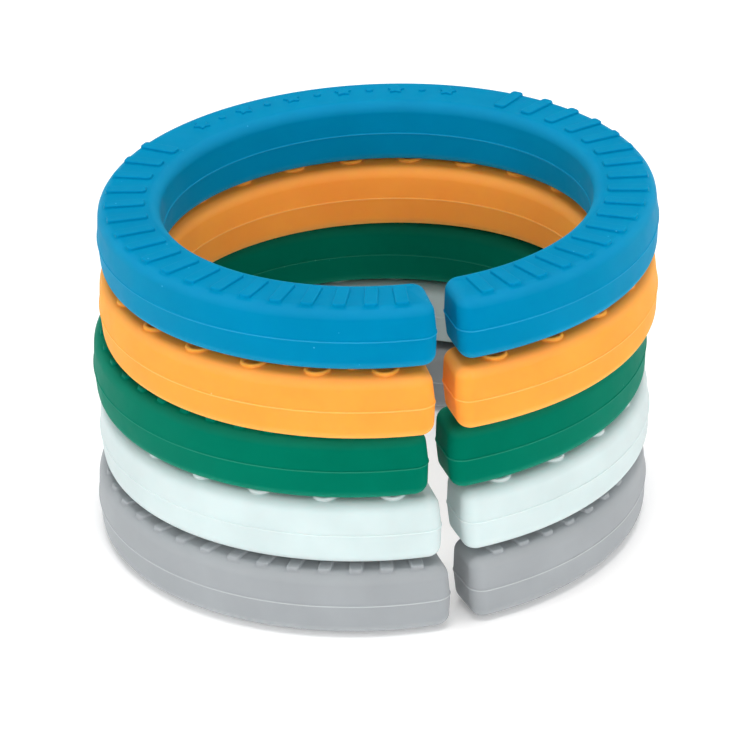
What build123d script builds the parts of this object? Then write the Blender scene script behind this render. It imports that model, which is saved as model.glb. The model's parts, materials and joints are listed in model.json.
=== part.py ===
from build123d import *

# Five C-shaped silicone teething rings, stacked one on another.
#
# Every ring is a one-piece moulding: a flat-sided loop with a narrow gap and small round bumps on
# its underside. The upper face of three rings has radial ribs and a row of stars. The upper face
# of the other two has longer open bumps. Millimetres, +Z up, standing on z = 0.

import os
from math import radians, tan

# The ring, without its texture
OUTER_R = 45.0  # at the mould's parting line, half way up, over its bead
INNER_R = 34.2
BEAD_H, BEAD_W = 0.1, 0.3  # the parting line's raised bead, all round the ring
BODY_H = 10.6
DRAFT = 4.0  # degrees, on every upright wall, either side of the parting line
GAP_ANGLE = 4.0  # degrees between the two end faces
GAP_TOOL_REACH = 10.0  # how far the wedge that cuts the gap reaches past the ring
END_CORNER_R = 2.6  # upright corners beside the gap
EDGE_R = 2.0  # all edges of the two flat faces

# Raised shapes on both faces
RAISE = 0.5
FOOT = 1.0  # how far each is sunk into the body
TOP_EDGE_R = 0.25  # top edges of ribs and bumps
UPPER_R = 40.2  # radius of the line that those on the upper face stand on
LOWER_R = 39.1  # the same for the underside

RIB_L, RIB_W = 6.5, 2.1
RIB_CORNER_R = 0.6
RIBS_PER_ARM = 18
RIB_START = 8.9  # degrees from the middle of the gap
RIB_PITCH = 6.4  # degrees between the first two ribs
RIB_SPREAD = 0.11  # degrees that each next pitch is wider

BUMP_L, BUMP_W = 6.2, 4.2  # upper bumps, shaped like slots that lie across the face
BUMP_D = 3.8  # round bumps of the underside
BUMP_WALL = 0.7  # round the open middle of every bump
BUMP_COUNT = 24
BUMP_START = 12.0  # degrees from the middle of the gap
BUMP_PITCH = (360 - 2 * BUMP_START) / (BUMP_COUNT - 1)
PIP_D, PIP_RAISE = 1.4, 0.35  # small studs between the bumps

STAR_R, STAR_WAIST = 1.7, 0.5  # point radius, and inner radius as a share of it
STAR_POINTS = 5
STAR_RAISE = 0.35
STAR_COUNT = 6
STAR_PITCH = 12.6  # degrees
STAR_STUD_D = 1.2  # studs between the stars

# The stack
CLEARANCE = 0.08  # between the textures of two rings
RING_H = BODY_H + 2 * RAISE
PITCH = RING_H + CLEARANCE

# name, whether its upper face has ribs, sideways shift, turn of its gap from -Y about +Z in degrees
STACK = [
    ("grey_ring", True, (-1.4, 0.4), 17.6),
    ("mint_ring", False, (-0.5, 1.8), 15.1),
    ("green_ring", True, (-0.8, 1.1), 13.3),
    ("orange_ring", False, (1.0, -1.8), 12.7),
    ("blue_ring", True, (1.4, -1.4), 13.1),
]


def ring_plan():
    """The C seen from above, at the parting line inside its bead, with the gap's middle on -Y."""
    plan = Circle(OUTER_R - BEAD_H) - Circle(INNER_R + BEAD_H)
    reach = OUTER_R + GAP_TOOL_REACH
    half = reach * tan(radians(GAP_ANGLE / 2))
    plan -= make_face(Polyline((0, 0), (half, -reach), (-half, -reach), close=True))
    return fillet(plan.vertices(), END_CORNER_R)


def ring_body():
    """The bare loop: both halves drafted from the parting line, with rounded faces and the bead."""
    plan = ring_plan()
    half = extrude(plan, BODY_H / 2, taper=DRAFT)
    half = fillet(half.faces().sort_by(Axis.Z)[-1].edges(), EDGE_R)
    bead = extrude(offset(plan, BEAD_H), BEAD_W / 2, both=True)
    return half + mirror(half, Plane.XY) + bead


def raised(outline, height, edge_r):
    """A flat-topped shape that stands on the upper face, with its top edges rounded."""
    shape = extrude(outline, FOOT + height)
    if edge_r:
        shape = fillet(shape.faces().sort_by(Axis.Z)[-1].edges(), edge_r)
    return Pos(0, 0, BODY_H / 2 - FOOT) * shape


def star_outline():
    """A five-pointed star with one point outward."""
    points = []
    for i in range(2 * STAR_POINTS):
        radius = STAR_R if i % 2 == 0 else STAR_R * STAR_WAIST
        points.append(Vector(0, -radius, 0).rotate(Axis.Z, i * 180 / STAR_POINTS))
    return make_face(Polyline(*points, close=True))


def slot_bump():
    """A slot that lies across the face, with a slot-shaped hole in it."""
    inner = SlotOverall(BUMP_L - 2 * BUMP_WALL, BUMP_W - 2 * BUMP_WALL, rotation=90)
    return SlotOverall(BUMP_L, BUMP_W, rotation=90) - inner


def round_bump():
    """A disc with a round hole in it."""
    return Circle(BUMP_D / 2) - Circle(BUMP_D / 2 - BUMP_WALL)


def at_angle(shape, from_gap, radius=UPPER_R):
    """Moves a shape out to a radius, by degrees round from the middle of the gap."""
    return Rot(0, 0, from_gap) * Pos(0, -radius, 0) * shape


def in_row(shape, start, pitch, count, radius=UPPER_R):
    """Evenly spaced copies of a shape along the face."""
    return [at_angle(shape, start + i * pitch, radius) for i in range(count)]


def ribbed_face():
    """Ribs along both arms, with a row of stars and studs opposite the gap."""
    rib = raised(RectangleRounded(RIB_W, RIB_L, RIB_CORNER_R), RAISE, TOP_EDGE_R)
    star = raised(star_outline(), STAR_RAISE, None)
    stud = raised(Circle(STAR_STUD_D / 2), STAR_RAISE, STAR_RAISE / 2)
    first_star = 180 - (STAR_COUNT - 1) * STAR_PITCH / 2
    shapes = in_row(star, first_star, STAR_PITCH, STAR_COUNT)
    shapes += in_row(stud, first_star + STAR_PITCH / 2, STAR_PITCH, STAR_COUNT - 1)
    for i in range(RIBS_PER_ARM):
        angle = RIB_START + i * RIB_PITCH + i * (i - 1) / 2 * RIB_SPREAD
        shapes += [at_angle(rib, angle), at_angle(rib, -angle)]
    return shapes


def bumped_face(outline, radius):
    """Open bumps all along the face, with a small stud between each two."""
    bump = raised(outline, RAISE, TOP_EDGE_R)
    pip = raised(Circle(PIP_D / 2), PIP_RAISE, PIP_RAISE / 2)
    shapes = in_row(bump, BUMP_START, BUMP_PITCH, BUMP_COUNT, radius)
    shapes += in_row(pip, BUMP_START + BUMP_PITCH / 2, BUMP_PITCH, BUMP_COUNT - 1, radius)
    return shapes


def ring(upper_face):
    """One whole moulding, centred on its parting plane."""
    underside = [Rot(0, 180, 0) * shape for shape in bumped_face(round_bump(), LOWER_R)]
    return ring_body().fuse(*upper_face, *underside)


def place(one, level, shift, turn):
    """Sets a ring on its level of the stack."""
    return Pos(*shift, RING_H / 2 + level * PITCH) * Rot(0, 0, turn) * one


def main():
    """Writes one STEP file for each ring."""
    os.makedirs("parts", exist_ok=True)
    ribbed, bumped = ring(ribbed_face()), ring(bumped_face(slot_bump(), UPPER_R))
    for level, (name, has_ribs, shift, turn) in enumerate(STACK):
        one = ribbed if has_ribs else bumped
        export_step(place(one, level, shift, turn), f"parts/{name}.step")


main()
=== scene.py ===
import json
import math

import bpy
import numpy as np
from mathutils import Matrix, Vector
from mathutils.geometry import delaunay_2d_cdt


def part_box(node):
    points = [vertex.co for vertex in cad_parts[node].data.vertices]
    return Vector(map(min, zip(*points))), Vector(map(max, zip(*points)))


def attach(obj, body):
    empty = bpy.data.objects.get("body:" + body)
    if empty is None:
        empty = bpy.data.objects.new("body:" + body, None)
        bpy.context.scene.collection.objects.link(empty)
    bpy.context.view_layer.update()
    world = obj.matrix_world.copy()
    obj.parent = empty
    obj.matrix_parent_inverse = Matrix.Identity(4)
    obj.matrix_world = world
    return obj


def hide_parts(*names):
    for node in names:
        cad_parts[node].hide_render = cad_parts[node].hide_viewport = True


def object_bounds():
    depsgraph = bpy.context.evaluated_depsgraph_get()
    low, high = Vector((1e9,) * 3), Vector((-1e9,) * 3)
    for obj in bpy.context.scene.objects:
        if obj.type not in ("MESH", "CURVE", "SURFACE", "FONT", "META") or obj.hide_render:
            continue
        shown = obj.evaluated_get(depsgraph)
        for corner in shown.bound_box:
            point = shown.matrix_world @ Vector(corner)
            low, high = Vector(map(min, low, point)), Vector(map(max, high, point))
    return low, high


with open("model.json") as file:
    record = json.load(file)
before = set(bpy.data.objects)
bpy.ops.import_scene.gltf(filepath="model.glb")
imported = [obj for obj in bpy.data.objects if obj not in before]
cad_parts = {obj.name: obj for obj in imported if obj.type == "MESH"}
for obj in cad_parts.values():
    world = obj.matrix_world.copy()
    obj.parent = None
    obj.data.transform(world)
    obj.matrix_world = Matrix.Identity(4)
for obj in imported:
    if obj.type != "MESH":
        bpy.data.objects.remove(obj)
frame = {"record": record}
cad_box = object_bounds()

# Five C-shaped silicone rings in a stack. Each is one closed mesh that stands for its CAD solid. It
# has the solid's section and texture, and adds what CAD leaves out: a small hollow foot round every
# raised shape, rounded stars, and a round section to the parting line's bead. There are two skins,
# a ribbed and a bumped one. Each is made once, in millimetres about its own centre, and placed in
# every ring that has it.

MM = 0.001

# The ring's section. Insets are measured inwards from its outline at the parting line, without the
# bead, and heights from the parting line up.
OUTER_R, INNER_R = 45.0, 34.2  # over the bead
BEAD_H, BEAD_W = 0.1, 0.3  # the parting line's bead
BEAD_STEEPEST = math.radians(70)  # how far the bead's normals turn up at most
BEAD_MARGIN = 0.04  # a strip beside the bead, over which the normals turn back to the wall's
BODY_H = 10.6
DRAFT = math.radians(4.0)  # on every upright wall, either side of the parting line
EDGE_R = 2.0  # all edges of the two flat faces
GAP_HALF = math.radians(2.0)  # half the angle between the two end faces
END_CORNER_R = 2.6  # upright corners beside the gap

# Where the rounding's section is centred, and where the flat face turns over into the outer wall
CENTRE_Z = BODY_H / 2 - EDGE_R
CENTRE_INSET = CENTRE_Z * math.tan(DRAFT) + EDGE_R / math.cos(DRAFT)
FLAT_R = OUTER_R - BEAD_H - CENTRE_INSET

# Raised shapes. Angles are in degrees, from the middle of the gap.
UPPER_R, LOWER_R = 40.2, 39.1  # where they stand on the upper face and on the underside
RAISE = 0.5
RIB_L, RIB_W, RIB_CORNER_R = 6.5, 2.1, 0.6
RIBS_PER_ARM = 18
RIB_START, RIB_PITCH = 8.9, 6.4
RIB_SPREAD = 0.11  # how much wider each next pitch is
BUMP_L, BUMP_W = 6.2, 4.2  # slot-shaped bumps, on the upper face
BUMP_D = 3.8  # round bumps, on the underside
BUMP_WALL = 0.7  # round the open middle of every bump
BUMP_COUNT, BUMP_START = 24, 12.0
BUMP_PITCH = (360 - 2 * BUMP_START) / (BUMP_COUNT - 1)
PIP_D, PIP_RAISE = 1.4, 0.35  # studs between the bumps
STAR_POINTS = 5
STAR_R, STAR_CORNER_R = 1.7, 0.22
STAR_WAIST = 0.5  # the inner corners' radius as a share of the points'
STAR_RAISE = 0.35
STAR_COUNT, STAR_PITCH = 6, 12.6
STAR_STUD_D = 1.2  # studs between the stars

# Radii of the hollow foot and the top edge of ribs and bumps, and of stars and studs
FOOT_R, TOP_R = 0.15, 0.28
LOW_FOOT_R, LOW_TOP_R = 0.12, 0.18

# Steps along curves
ARC_STEPS = 264
CORNER_STEPS = 10
FILLET_STEPS = 7
FACE_ROWS = 3  # rows at the top of the rounding that raised shapes may stand on
SMALL_STEPS = 4
CIRCLE_STEPS = 32

# How delaunay_2d_cdt fills a face: only inside its loops, and with points this close made one
INSIDE_LOOPS = 1
SAME_POINT = 1e-7

# Each ring: whether its upper face has ribs, and the turn of its gap from -Y about +Z, in degrees
RINGS = {
    "grey_ring": (True, 17.6),
    "mint_ring": (False, 15.1),
    "green_ring": (True, 13.3),
    "orange_ring": (False, 12.7),
    "blue_ring": (True, 13.1),
}


# ---------------------------------------------------------------- outlines, as points and normals

def turning(start, end, steps):
    """Unit vectors that turn evenly from one polar angle to another, ends included."""
    angles = np.linspace(start, end, steps + 1)
    return np.stack([np.cos(angles), np.sin(angles)], 1)


def c_outline():
    """The C at the parting line, counterclockwise, with the gap's middle on -Y."""
    outer, inner = OUTER_R - BEAD_H, INNER_R + BEAD_H
    down = -math.pi / 2
    at_outer = GAP_HALF + math.asin(END_CORNER_R / (outer - END_CORNER_R))
    at_inner = GAP_HALF + math.asin(END_CORNER_R / (inner + END_CORNER_R))
    points, normals = [], []

    def corner(radius, angle, start, end):
        """One of the four upright corners beside the gap."""
        n = turning(start, end, CORNER_STEPS)
        centre = radius * np.array([math.cos(angle), math.sin(angle)])
        points.append(centre + END_CORNER_R * n)
        normals.append(n)

    def arc(radius, start, end, facing):
        """The outer or the inner wall, without its ends, which belong to the corners."""
        n = turning(start, end, ARC_STEPS)[1:-1]
        points.append(radius * n)
        normals.append(facing * n)

    corner(outer - END_CORNER_R, down + at_outer, GAP_HALF - math.pi, down + at_outer)
    arc(outer, down + at_outer, down + 2 * math.pi - at_outer, 1)
    corner(outer - END_CORNER_R, down - at_outer, down - at_outer, -GAP_HALF)
    corner(inner + END_CORNER_R, down - at_inner, -GAP_HALF, math.pi / 2 - at_inner)
    arc(inner, down + 2 * math.pi - at_inner, down + at_inner, -1)
    corner(inner + END_CORNER_R, down + at_inner, math.pi / 2 + at_inner, math.pi + GAP_HALF)
    return np.concatenate(points), np.concatenate(normals)


def rounded(corners, radius):
    """A counterclockwise polygon with every corner rounded, convex or not."""
    points, normals = [], []
    count = len(corners)
    for i in range(count):
        before, here, after = (np.array(corners[(i + k) % count]) for k in (-1, 0, 1))
        way_in = (here - before) / np.linalg.norm(here - before)
        way_out = (after - here) / np.linalg.norm(after - here)
        turn = math.atan2(way_in[0] * way_out[1] - way_in[1] * way_out[0], way_in @ way_out)
        sign = math.copysign(1, turn)
        tangent = radius * math.tan(abs(turn) / 2)
        first = math.atan2(-way_in[0], way_in[1])
        n = turning(first, first + turn, SMALL_STEPS)
        centre = here - tangent * way_in - sign * radius * n[0]
        points.append(centre + sign * radius * n)
        normals.append(n)
    return np.concatenate(points), np.concatenate(normals)


def rib_outline():
    """A bar that lies across the face."""
    x, y = RIB_W / 2, RIB_L / 2
    return rounded([(-x, -y), (x, -y), (x, y), (-x, y)], RIB_CORNER_R)


def star_outline():
    """A star with one point outwards."""
    corners = []
    for i in range(2 * STAR_POINTS):
        radius = STAR_R if i % 2 == 0 else STAR_R * STAR_WAIST
        angle = -math.pi / 2 + i * math.pi / STAR_POINTS
        corners.append((radius * math.cos(angle), radius * math.sin(angle)))
    return rounded(corners, STAR_CORNER_R)


def circle_outline(diameter):
    """A circle."""
    n = turning(0, 2 * math.pi, CIRCLE_STEPS)[:-1]
    return diameter / 2 * n, n


def slot_outline():
    """A slot that lies across the face."""
    ends = [turning(start, start + math.pi, CIRCLE_STEPS // 2) for start in (0, math.pi)]
    centre = np.array([0, (BUMP_L - BUMP_W) / 2])
    points = [sign * centre + BUMP_W / 2 * n for sign, n in zip((1, -1), ends)]
    return np.concatenate(points), np.concatenate(ends)


# ------------------------------------------------- profiles, as (offset outwards, height, slope)
# Slope is how far the normal turns up: 0 on an upright wall, and a quarter turn on a flat top.

def wall_profile():
    """The upper half of the body's side, from the parting line to the flat face."""
    steps = []
    for t in np.linspace(0, math.pi / 2, SMALL_STEPS + 1):
        z = BEAD_W / 2 * math.sin(t)
        slope = math.atan2(BEAD_H * math.sin(t), BEAD_W / 2 * math.cos(t))
        offset = BEAD_H * math.cos(t) - z * math.tan(DRAFT)
        steps.append((offset, z, min(slope, BEAD_STEEPEST)))
    wall_start = BEAD_W / 2 + BEAD_MARGIN
    steps.append((-wall_start * math.tan(DRAFT), wall_start, DRAFT))
    for slope in np.linspace(DRAFT, math.pi / 2, FILLET_STEPS + 1):
        offset = EDGE_R * math.cos(slope) - CENTRE_INSET
        steps.append((offset, CENTRE_Z + EDGE_R * math.sin(slope), slope))
    return steps


def raised_profile(height, foot, top):
    """From the face up a small hollow foot, and over a round edge onto a flat top."""
    steps = []
    for a in np.linspace(0, math.pi / 2, SMALL_STEPS + 1):
        steps.append((foot - foot * math.sin(a), foot - foot * math.cos(a), math.pi / 2 - a))
    for slope in np.linspace(0, math.pi / 2, SMALL_STEPS + 1):
        steps.append((top * math.cos(slope) - top, height - top + top * math.sin(slope), slope))
    return steps


# ------------------------------------------------------------------------------- the ring's skin

UPRIGHT = Matrix.Identity(4)
TURNED_OVER = Matrix.Rotation(math.pi, 4, "Y")


def face_at(x, y):
    """How much higher the face is at a point than its flat part, and its normal there.

    No raised shape reaches the inner rounding, so only the outer one counts.
    """
    radius = math.hypot(x, y)
    out = max(0.0, radius - FLAT_R) / EDGE_R
    up = math.sqrt(1 - out * out)
    return EDGE_R * (up - 1), Vector((out * x / radius, out * y / radius, up))


class Skin:
    """A closed mesh in the making: vertices, exact normals, and where the seam and the painted edge
    highlights run.
    """

    def __init__(self):
        self.points, self.normals, self.seam, self.crest, self.faces = [], [], [], [], []
        self.side = UPRIGHT

    def loop(self, outline, offset, z, slope, place=UPRIGHT, lean=0.0, seam=0.0, crest=0.0):
        """Adds one closed row of vertices, and returns their numbers.

        Lean is how much the row follows the rounding under it, from 0 to 1.
        """
        flat, facing = outline
        first = len(self.points)
        turn, side_turn = place.to_3x3(), self.side.to_3x3()
        for (x, y), (nx, ny) in zip(flat + offset * facing, facing * math.cos(slope)):
            point = place @ Vector((x, y, z))
            normal = turn @ Vector((nx, ny, math.sin(slope)))
            if lean:
                rise, face_normal = face_at(point.x, point.y)
                point.z += lean * rise
                normal += lean * (face_normal - Vector((0, 0, 1)))
            self.points.append(self.side @ point)
            self.normals.append(side_turn @ normal.normalized())
            self.seam.append(seam)
            self.crest.append(crest)
        return list(range(first, len(self.points)))

    def bands(self, rows):
        """Joins each row to the next with four-sided faces."""
        for low, high in zip(rows, rows[1:]):
            for i in range(len(low)):
                j = (i + 1) % len(low)
                self.faces.append((low[i], low[j], high[j], high[i]))

    def plate(self, rim, rows, holes):
        """Fills a face inside its rim, through its inner rows, round the feet of all on it."""
        loops = [rim] + holes
        borders, start = [], 0
        for loop in loops:
            borders.append(list(range(start, start + len(loop))))
            start += len(loop)
        numbers = [v for loop in loops + rows for v in loop]
        back = self.side.inverted()
        flat = [(back @ self.points[v]).to_2d() for v in numbers]
        filled = delaunay_2d_cdt(flat, [], borders, INSIDE_LOOPS, SAME_POINT)
        _, _, triangles, sources, _, enclosing = filled
        for triangle, loops_round_it in zip(triangles, enclosing):
            if loops_round_it == [0]:  # the rim alone, so it lies under no raised shape
                self.faces.append(tuple(numbers[sources[v][0]] for v in triangle))

    def drop_unused(self):
        """Takes away the inner rows' vertices that lie under raised shapes."""
        used = sorted({v for face in self.faces for v in face})
        number = {old: new for new, old in enumerate(used)}
        self.faces = [tuple(number[v] for v in face) for face in self.faces]
        for key in ("points", "normals", "seam", "crest"):
            values = getattr(self, key)
            setattr(self, key, [values[v] for v in used])


def along_face(from_gap, radius=UPPER_R):
    """The place of a raised shape, by degrees round from the middle of the gap."""
    at_gap = Matrix.Translation((0, -radius, BODY_H / 2))
    return Matrix.Rotation(math.radians(from_gap), 4, "Z") @ at_gap


def raised_rows(skin, outline, profile, height, place, wall=None):
    """The rows of one side of a raised shape, or of its hollow if the wall round that is given."""
    rows = []
    for offset, z, slope in profile:
        if wall is not None:
            offset, slope = -wall - offset, math.pi - slope
        lean = 1 - z / height
        # Painted highlight: the paler colour along the rounded top edge of each raised shape
        crest = max(0.0, z / height) ** 3 * abs(math.sin(2 * slope))
        rows.append(skin.loop(outline, offset, z, slope, place, lean, crest=crest))
    return rows


def add_raised(skin, outline, height, foot, top, place):
    """A flat-topped raised shape. Returns its foot's row."""
    rows = raised_rows(skin, outline, raised_profile(height, foot, top), height, place)
    skin.bands(rows)
    skin.faces.append(tuple(rows[-1]))
    return rows[0]


def add_open_bump(skin, outline, place):
    """A bump with an open middle. Returns its foot's row."""
    profile = raised_profile(RAISE, FOOT_R, TOP_R)
    rows = raised_rows(skin, outline, profile, RAISE, place)
    rows += raised_rows(skin, outline, profile[::-1], RAISE, place, wall=BUMP_WALL)
    skin.bands(rows)
    skin.faces.append(tuple(rows[-1]))
    return rows[0]


def ribbed_face(skin):
    """Ribs along both arms, and stars with studs between them opposite the gap."""
    feet = []
    rib, star, stud = rib_outline(), star_outline(), circle_outline(STAR_STUD_D)
    for i in range(RIBS_PER_ARM):
        angle = RIB_START + i * RIB_PITCH + i * (i - 1) / 2 * RIB_SPREAD
        for side in (-1, 1):
            feet.append(add_raised(skin, rib, RAISE, FOOT_R, TOP_R, along_face(side * angle)))
    first = 180 - (STAR_COUNT - 1) * STAR_PITCH / 2
    for i in range(STAR_COUNT):
        place = along_face(first + i * STAR_PITCH)
        feet.append(add_raised(skin, star, STAR_RAISE, LOW_FOOT_R, LOW_TOP_R, place))
    for i in range(STAR_COUNT - 1):
        place = along_face(first + (i + 0.5) * STAR_PITCH)
        feet.append(add_raised(skin, stud, STAR_RAISE, LOW_FOOT_R, LOW_TOP_R, place))
    return feet


def bumped_face(skin, outline, radius):
    """Open bumps along the whole face, with a small stud between each two."""
    feet = []
    pip = circle_outline(PIP_D)
    for i in range(BUMP_COUNT):
        place = along_face(BUMP_START + i * BUMP_PITCH, radius)
        feet.append(add_open_bump(skin, outline, place))
    for i in range(BUMP_COUNT - 1):
        place = along_face(BUMP_START + (i + 0.5) * BUMP_PITCH, radius)
        feet.append(add_raised(skin, pip, PIP_RAISE, LOW_FOOT_R, LOW_TOP_R, place))
    return feet


def ring_skin(has_ribs):
    """One whole ring, centred on its parting plane."""
    skin = Skin()
    outline = c_outline()
    upper = wall_profile()
    lower = [(offset, -z, -slope) for offset, z, slope in reversed(upper[1:])]
    rows = []
    for offset, z, slope in lower + upper:
        # The seam mask carries a painted highlight along the parting line's bead, in the paler
        # colour
        seam = max(0.0, 1 - abs(z) / (BEAD_W / 2))
        # Painted highlight: the paler colour along the body's rounded edges, away from the bead
        edge = math.sin(2 * abs(slope)) if abs(z) > BEAD_W else 0.0
        rows.append(skin.loop(outline, offset, z, slope, seam=seam, crest=edge))
    skin.bands(rows[FACE_ROWS:-FACE_ROWS])
    feet = ribbed_face(skin) if has_ribs else bumped_face(skin, slot_outline(), UPPER_R)
    skin.plate(rows[-FACE_ROWS - 1], rows[-FACE_ROWS:], feet)
    skin.side = TURNED_OVER
    feet = bumped_face(skin, circle_outline(BUMP_D), LOWER_R)
    skin.plate(rows[FACE_ROWS][::-1], rows[:FACE_ROWS], feet)
    skin.drop_unused()
    return skin


def add_object(name, data):
    """A new object in the scene."""
    thing = bpy.data.objects.new(name, data)
    bpy.context.scene.collection.objects.link(thing)
    return thing


def add_ring(name, skin, turn, material):
    """Places one ring where its CAD node lies, and makes it stand for that node."""
    low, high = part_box(name)
    place = Matrix.Translation((low + high) / 2) @ Matrix.Rotation(math.radians(turn), 4, "Z")
    turned = place.to_3x3()
    mesh = bpy.data.meshes.new(name + "_skin")
    mesh.from_pydata([place @ (p * MM) for p in skin.points], [], skin.faces)
    for key, values in (("seam", skin.seam), ("crest", skin.crest)):
        mesh.attributes.new(key, "FLOAT", "POINT").data.foreach_set("value", values)
    mesh.shade_smooth()
    mesh.normals_split_custom_set_from_vertices([turned @ n for n in skin.normals])
    mesh.materials.append(material)
    piece = add_object(name + "_moulding", mesh)
    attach(piece, name)
    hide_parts(name)


# ------------------------------------------------------------------------------------- materials

class Nodes:
    """A short way to fill the node tree of a material or a world."""

    def __init__(self, owner):
        owner.use_nodes = True
        self.tree = owner.node_tree
        self.tree.nodes.clear()

    def add(self, kind, inputs=None, **settings):
        """A new node with its settings, and with a value or a link on each of the inputs given."""
        node = self.tree.nodes.new(kind)
        for key, value in settings.items():
            setattr(node, key, value)
        for key, value in (inputs or {}).items():
            if isinstance(value, bpy.types.NodeSocket):
                self.tree.links.new(value, node.inputs[key])
            else:
                node.inputs[key].default_value = value
        return node

    def noise(self, where, scale, detail, roughness=0.5):
        """Soft noise, with its scale in features per metre."""
        inputs = {"Vector": where, "Scale": scale, "Detail": detail, "Roughness": roughness}
        return self.add("ShaderNodeTexNoise", inputs).outputs[0]

    def remap(self, value, low, high, to_low, to_high):
        """Maps a value from one range to another, and stops at its ends."""
        source = {"Value": value, "From Min": low, "From Max": high}
        target = {"To Min": to_low, "To Max": to_high}
        return self.add("ShaderNodeMapRange", source | target).outputs[0]

    def blend(self, share, a, b):
        """Mixes two colours by a share. Inputs 6 and 7 and output 2 are the node's for colours."""
        return self.add("ShaderNodeMix", {0: share, 6: a, 7: b}, data_type="RGBA").outputs[2]


def linear(srgb, lift=1.0):
    """A colour given as 0 to 255 on screen, as Blender's linear numbers, with alpha."""
    out = []
    for c in srgb:
        c = c / 255
        c = c / 12.92 if c <= 0.04045 else ((c + 0.055) / 1.055) ** 2.4
        out.append(min(1.0, c * lift))
    return (*out, 1.0)


# Each ring: its colour, the paler colour of its painted edge highlights, painted seam highlight and
# lint, the share of places that have lint, how far the seam's painted highlight takes the paler
# colour, and how far red, green and blue light travel inside the ring, as shares of GLOW_REACH
FINISHES = {
    "grey_ring": ((156, 160, 163), (196, 200, 202), 0.2, 0.55, (0.2, 0.2, 0.2)),
    "mint_ring": ((200, 214, 214), (214, 227, 227), 0.0, 0.15, (0.5, 0.7, 0.7)),
    "green_ring": ((0, 112, 89), (60, 150, 125), 0.8, 0.35, (0.1, 0.15, 0.15)),
    "orange_ring": ((255, 158, 67), (255, 200, 140), 0.2, 0.3, (0.9, 0.6, 0.2)),
    "blue_ring": ((0, 128, 170), (65, 170, 210), 0.8, 0.3, (0.1, 0.15, 0.2)),
}
GLOW_REACH = 1.5 * MM

MOTTLE_SCALE = 95  # features per metre, as all scales here
DARKEST, LIGHTEST = 0.96, 1.03  # what the mottling multiplies the colour by
EDGE_HIGHLIGHT_SHARE = 0.12  # how far the painted highlight on rounded edges takes the paler colour
LINT_SCALE, LINT_SHARE = 240, 0.7  # places that may have lint, and how far it covers the colour
LINT_CORE, LINT_RIM = 0.025, 0.045  # where a speck starts and ends fading, from its cell's centre
SHEEN_SCALE = 240
SMOOTHEST, ROUGHEST = 0.5, 0.62
GRAIN_SCALE, GRAIN_DEPTH, GRAIN_STRENGTH = 5200, 0.05 * MM, 0.1
WAVE_SCALE, WAVE_DEPTH, WAVE_STRENGTH = 160, 0.4 * MM, 0.12


def silicone_colour(n, where, shade, pale, lint, seam_highlight_share):
    """The colour with faint mottling, and the paler one as painted highlights on rounded edges and
    on the seam, and as lint.
    """
    mottle = n.remap(n.noise(where, MOTTLE_SCALE, 3), 0.35, 0.65, 0, 1)
    colour = n.blend(mottle, linear(shade, DARKEST), linear(shade, LIGHTEST))
    # Painted highlight along rounded edges, in the paler colour
    crest = n.add("ShaderNodeAttribute", attribute_name="crest").outputs["Fac"]
    colour = n.blend(n.remap(crest, 0.2, 1, 0, EDGE_HIGHLIGHT_SHARE), colour, linear(pale))
    # Painted highlight along the parting line's bead, in the paler colour
    seam = n.add("ShaderNodeAttribute", attribute_name="seam").outputs["Fac"]
    colour = n.blend(n.remap(seam, 0, 0.8, 0, seam_highlight_share), colour, linear(pale))
    cells = n.add("ShaderNodeTexVoronoi", {"Vector": where, "Scale": LINT_SCALE})
    lot = n.add("ShaderNodeSeparateColor", {0: cells.outputs["Color"]}).outputs[0]
    chosen = n.remap(lot, 1 - lint, 1 - lint + 0.01, 0, 1)
    near = n.remap(cells.outputs["Distance"], LINT_CORE, LINT_RIM, 1, 0)
    speck = n.add("ShaderNodeMath", {0: chosen, 1: near}, operation="MULTIPLY").outputs[0]
    return n.blend(n.remap(speck, 0, 1, 0, LINT_SHARE), colour, linear(pale))


def silicone_surface(n, where):
    """The normal of a moulded surface: a fine grain on long shallow waves."""
    grain = n.add("ShaderNodeBump", {
        "Height": n.noise(where, GRAIN_SCALE, 2, 0.6),
        "Strength": GRAIN_STRENGTH,
        "Distance": GRAIN_DEPTH,
    })
    waves = n.add("ShaderNodeBump", {
        "Height": n.noise(where, WAVE_SCALE, 2),
        "Strength": WAVE_STRENGTH,
        "Distance": WAVE_DEPTH,
        "Normal": grain.outputs[0],
    })
    return waves.outputs[0]


def silicone(name, shade, pale, lint, seam_highlight_share, glow):
    """Matte moulded silicone, which lets a little light in."""
    material = bpy.data.materials.new(name)
    n = Nodes(material)
    where = n.add("ShaderNodeTexCoord").outputs["Object"]
    shader = n.add("ShaderNodeBsdfPrincipled", {
        "Base Color": silicone_colour(n, where, shade, pale, lint, seam_highlight_share),
        "Roughness": n.remap(n.noise(where, SHEEN_SCALE, 2), 0.3, 0.7, SMOOTHEST, ROUGHEST),
        "Normal": silicone_surface(n, where),
        "IOR": 1.42,
        "Specular IOR Level": 0.05,
        "Specular Tint": linear(shade),
        "Subsurface Weight": 0.8,
        "Subsurface Scale": GLOW_REACH,
        "Subsurface Radius": glow,
    })
    n.add("ShaderNodeOutputMaterial", {"Surface": shader.outputs[0]})
    return material


def make_rings():
    """All five rings, from two skins."""
    slots = {s["node"]: s["material_slot"] for s in frame["record"]["subparts"]}
    skins = {has_ribs: ring_skin(has_ribs) for has_ribs in (True, False)}
    for name, (has_ribs, turn) in RINGS.items():
        material = silicone(slots[name], *FINISHES[name])
        add_ring(name, skins[has_ribs], turn, material)


# ------------------------------------------------------------------------ floor, light and camera

FLOOR_SIZE = 6.0
WHITE = (1, 1, 1, 1)
PAPER = (0.95, 0.95, 0.95, 1)
SKY_LIGHT, SKY_SEEN = 0.35, 1.1  # the white tent as it lights things, and as the camera sees it
SOFTNESS = math.radians(32)  # how wide each light looks from the object

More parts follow.
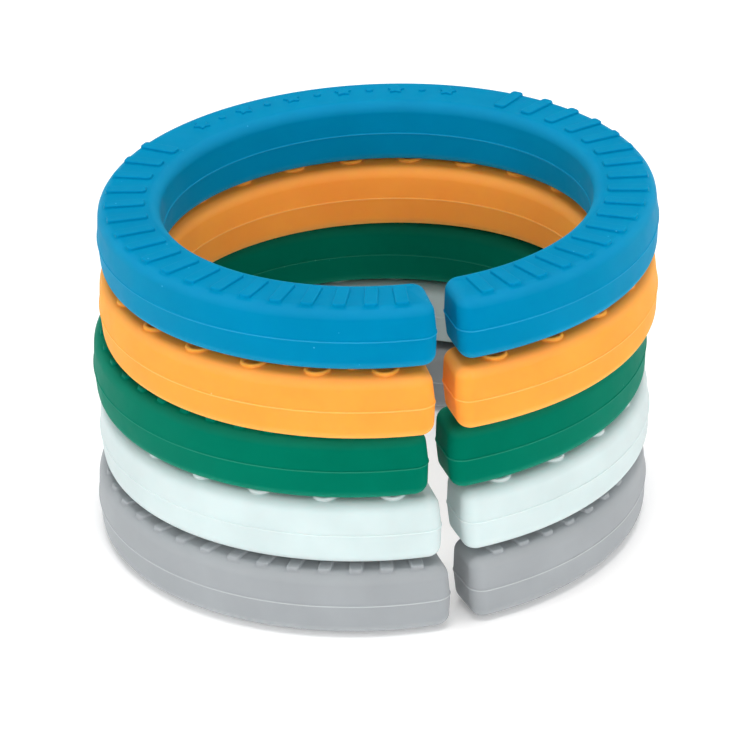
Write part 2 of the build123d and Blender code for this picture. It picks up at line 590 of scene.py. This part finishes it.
# Each light: a point that it comes from, as seen from the stack, and its strength
LIGHTS = {
    "front": ((0.26, -0.97, 0.36), 1.6),
    "left": ((-0.94, -0.34, 0.36), 0.9),
    "right": ((0.98, -0.17, 0.36), 0.15),
    "back": ((0.2, 0.6, 0.7), 0.5),
    "overhead": ((0.0, -0.1, 1.1), 1.7),
}

CAMERA_DISTANCE = 0.77
CAMERA_RISE = math.radians(26.1)
CAMERA_ROLL = math.radians(-2.64)
CAMERA_AIM = (0.68 * MM, -1.52 * MM)  # at half the stack's height
SHIFT_X, SHIFT_Y = -0.0124, -0.0259  # of the picture, as shares of its width
SENSOR_WIDTH = 36.0
LENS_PER_SENSOR = 6.419  # focal length over sensor width
CLIP_START = 0.01


def make_floor():
    """A wide sheet of white paper that glows faintly."""
    half = FLOOR_SIZE / 2
    mesh = bpy.data.meshes.new("floor")
    corners = [(-half, -half, 0), (half, -half, 0), (half, half, 0), (-half, half, 0)]
    mesh.from_pydata(corners, [], [(0, 1, 2, 3)])
    material = bpy.data.materials.new("floor_paper")
    n = Nodes(material)
    paper = {"Base Color": PAPER, "Roughness": 0.9, "Emission Strength": 0.12}
    shader = n.add("ShaderNodeBsdfPrincipled", paper)
    n.add("ShaderNodeOutputMaterial", {"Surface": shader.outputs[0]})
    mesh.materials.append(material)
    add_object("floor", mesh)


def make_sky():
    """A white tent all round, which the camera sees brighter than it lights the rings."""
    world = bpy.data.worlds.new("white_tent")
    n = Nodes(world)
    seen = n.add("ShaderNodeLightPath").outputs["Is Camera Ray"]
    strength = n.remap(seen, 0, 1, SKY_LIGHT, SKY_SEEN)
    tent = n.add("ShaderNodeBackground", {"Color": WHITE, "Strength": strength})
    n.add("ShaderNodeOutputWorld", {"Surface": tent.outputs[0]})
    bpy.context.scene.world = world


def make_lights():
    """Wide soft lights, each even over the whole scene."""
    for name, (origin, strength) in LIGHTS.items():
        data = bpy.data.lights.new(name, "SUN")
        data.angle = SOFTNESS
        data.energy = strength
        light = add_object(name, data)
        light.rotation_euler = Vector(origin).to_track_quat("Z", "Y").to_euler()


def make_camera():
    """A camera in front of the stack and above it, turned a little about its own view."""
    low, high = (Vector(corner) for corner in cad_box)
    target = Vector((*CAMERA_AIM, (low.z + high.z) / 2))
    data = bpy.data.cameras.new("camera")
    data.sensor_width = SENSOR_WIDTH
    data.lens = LENS_PER_SENSOR * SENSOR_WIDTH
    data.shift_x = SHIFT_X
    data.shift_y = SHIFT_Y
    data.clip_start = CLIP_START
    back = Vector((0, -math.cos(CAMERA_RISE), math.sin(CAMERA_RISE)))
    place = Matrix.Translation(target + CAMERA_DISTANCE * back)
    tilt = Matrix.Rotation(math.pi / 2 - CAMERA_RISE, 4, "X")
    camera = add_object("camera", data)
    camera.matrix_world = place @ tilt @ Matrix.Rotation(CAMERA_ROLL, 4, "Z")
    bpy.context.scene.camera = camera


make_camera()
make_rings()
make_floor()
make_sky()
make_lights()
bpy.context.scene.view_settings.view_transform = "Standard"
